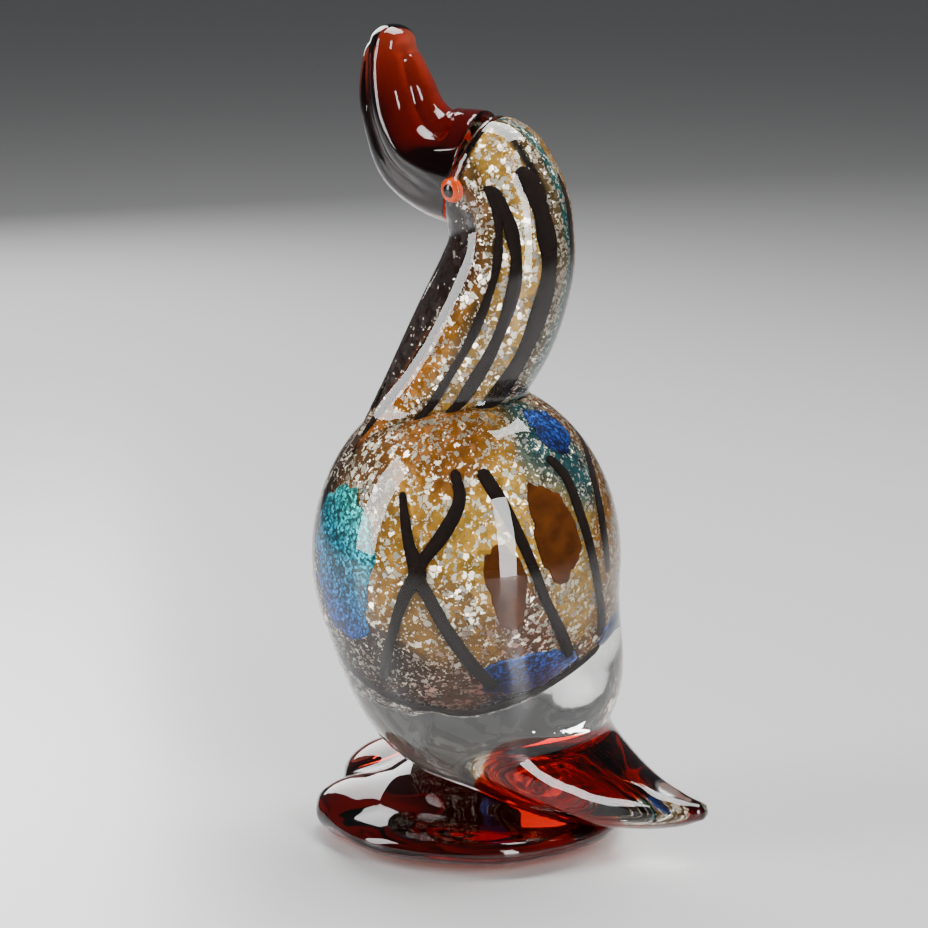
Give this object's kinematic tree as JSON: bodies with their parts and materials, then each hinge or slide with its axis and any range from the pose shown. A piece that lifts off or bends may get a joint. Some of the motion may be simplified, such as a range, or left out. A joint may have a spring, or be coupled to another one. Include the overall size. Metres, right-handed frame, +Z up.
{
  "type": "glass bird figurine",
  "caption": "Solid hot-worked glass bird with an upturned amber bill, decorated core under clear glass, pointed tail and round amber foot.",
  "frame": {"origin": "centre of the foot's ground flat underside, on the surface it stands on", "axes": "+Z up; the bird faces -Y; its left side is +X"},
  "size_m": [0.099, 0.1362, 0.2601],
  "materials": {
    "clear_glass": "fire polished",
    "amber_glass": "fire polished",
    "black_glass": "gloss",
    "orange_glass": "gloss",
    "teal_dichroic": "dichroic film",
    "cobalt_dichroic": "dichroic film",
    "amber_cane": "gloss",
    "body_core_decoration": "gold ground with silver leaf",
    "neck_core_decoration": "silver leaf on brown and gold"
  },
  "bodies": {
    "root": {"foot": "amber_glass", "body_core": "body_core_decoration", "body_threads": "black_glass", "core_rim_thread": "black_glass", "teal_chips": "teal_dichroic", "cobalt_chips": "cobalt_dichroic", "amber_chips": "amber_cane", "body_casing": "clear_glass", "tail_bit": "amber_glass", "neck_core": "neck_core_decoration", "neck_stripes": "black_glass", "neck_casing": "clear_glass", "bill": "amber_glass", "eye_ring_left": "orange_glass", "pupil_left": "black_glass", "eye_ring_right": "orange_glass", "pupil_right": "black_glass"}
  },
  "joints": []
}
